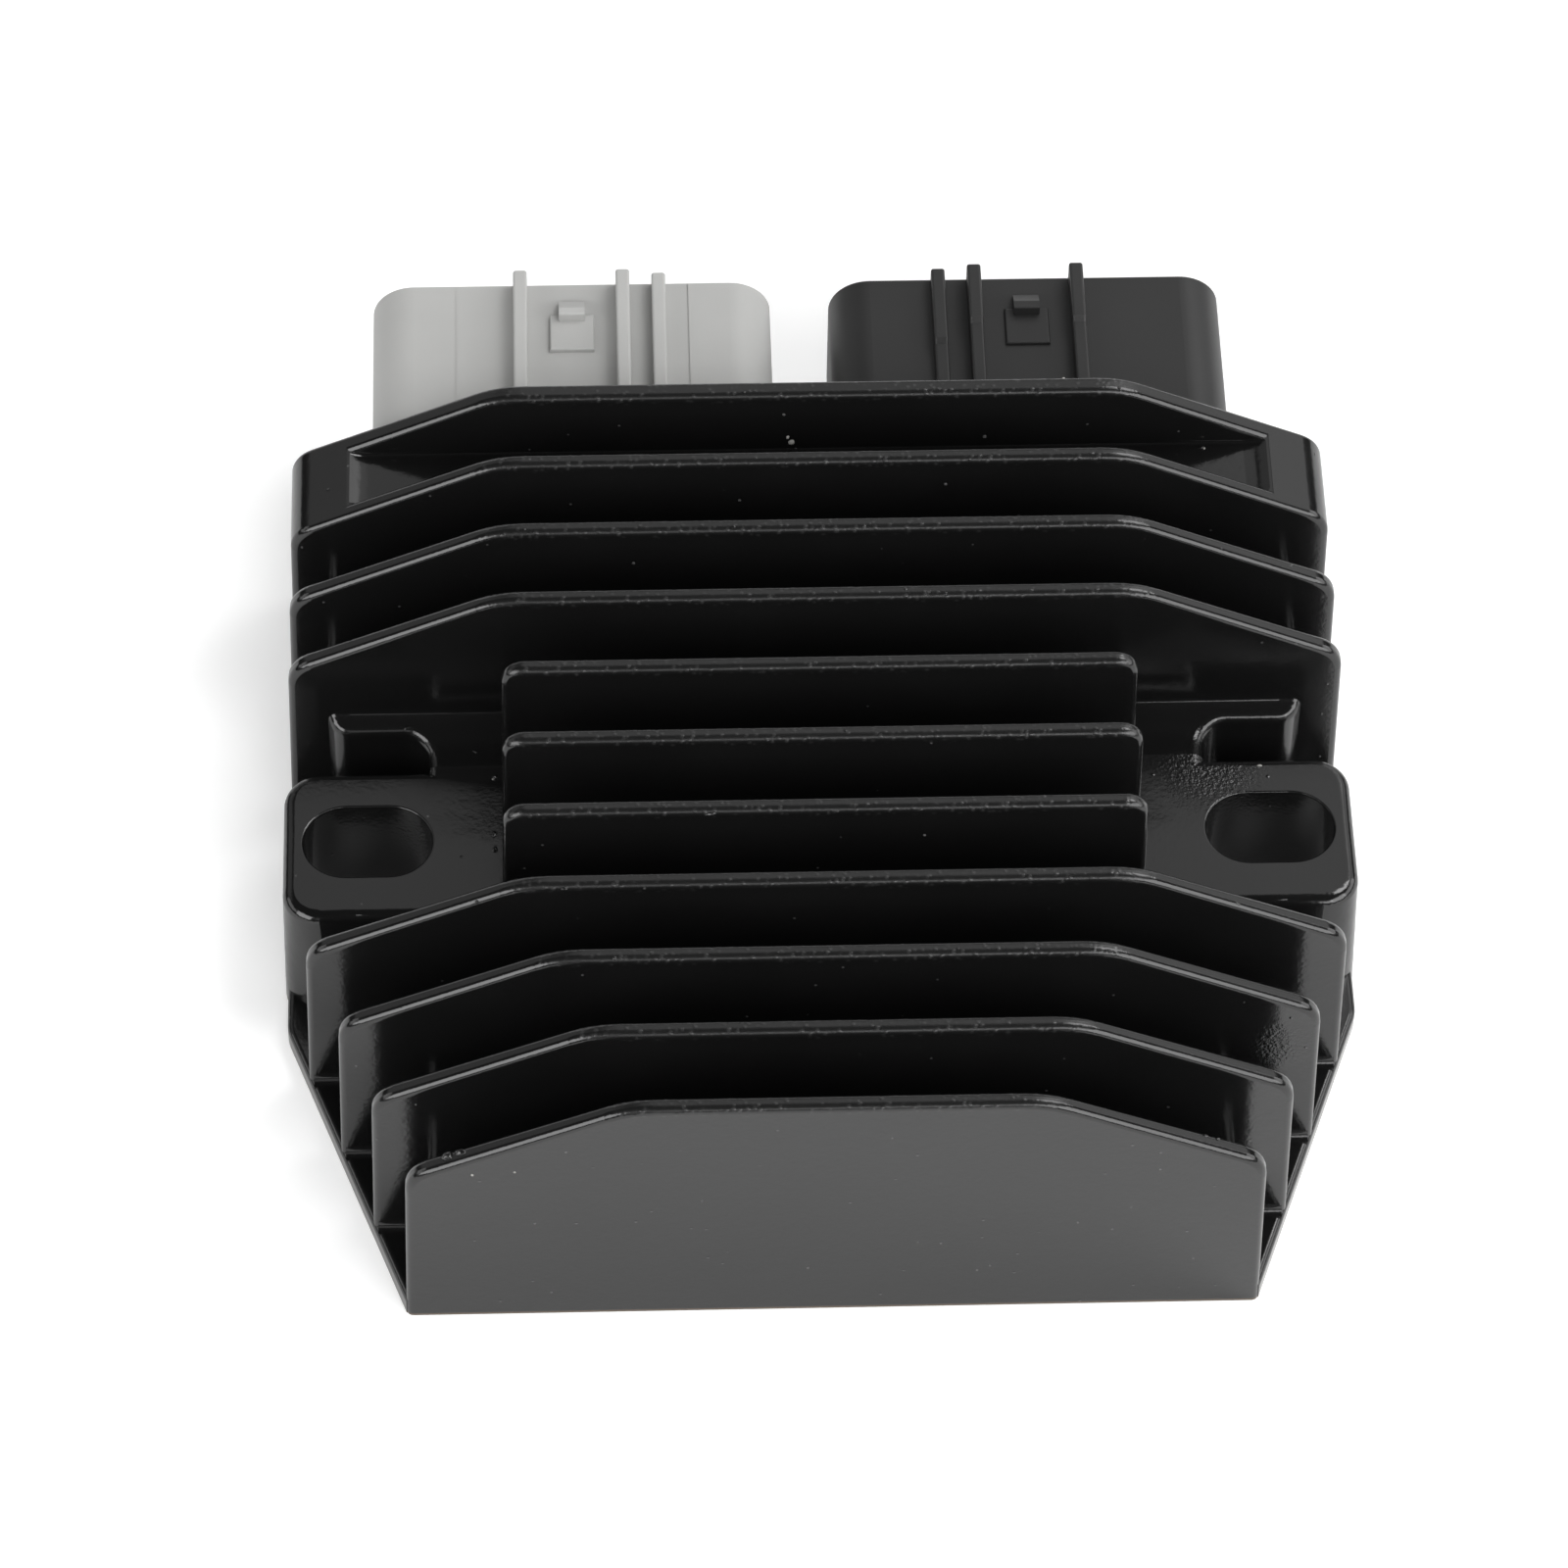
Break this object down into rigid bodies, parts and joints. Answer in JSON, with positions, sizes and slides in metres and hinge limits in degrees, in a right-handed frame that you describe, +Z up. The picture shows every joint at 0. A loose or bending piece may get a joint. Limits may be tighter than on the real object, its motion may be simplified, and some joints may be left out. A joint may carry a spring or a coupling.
{
  "type": "voltage regulator rectifier",
  "caption": "Finned black die-cast regulator rectifier with slotted mounting decks, one grey and one black plug socket at the rear.",
  "frame": {"origin": "on the base plane, halfway between the two mounting slots", "axes": "+X to the right with the front wall facing the viewer, +Y towards the connectors, +Z up out of the fins"},
  "size_m": [0.1008, 0.1057, 0.031],
  "materials": {
    "black_coat": "satin black coat on die-cast aluminium",
    "potting": "cast resin, slightly glossy",
    "board": "coated circuit board",
    "pad": "matt insulating sheet",
    "package": "matt moulded package",
    "can": "bright can",
    "grey_plastic": "satin moulded plastic",
    "black_plastic": "satin moulded plastic",
    "tinned_blade": "bright tin plating"
  },
  "bodies": {
    "root": {"heatsink_housing": "black_coat", "potting_compound": "potting", "circuit_board": "board", "insulating_pad": "pad", "control_chip": "package", "stator_connector": "grey_plastic", "output_connector": "black_plastic", "power_device_1": "package", "power_device_2": "package", "power_device_3": "package", "power_device_4": "package", "power_device_5": "package", "power_device_6": "package", "capacitor_1": "can", "sense_resistor_1": "package", "capacitor_2": "can", "sense_resistor_2": "package", "stator_blade_1": "tinned_blade", "stator_blade_2": "tinned_blade", "stator_blade_3": "tinned_blade", "output_blade_1": "tinned_blade", "output_blade_2": "tinned_blade", "output_blade_3": "tinned_blade"}
  },
  "joints": []
}
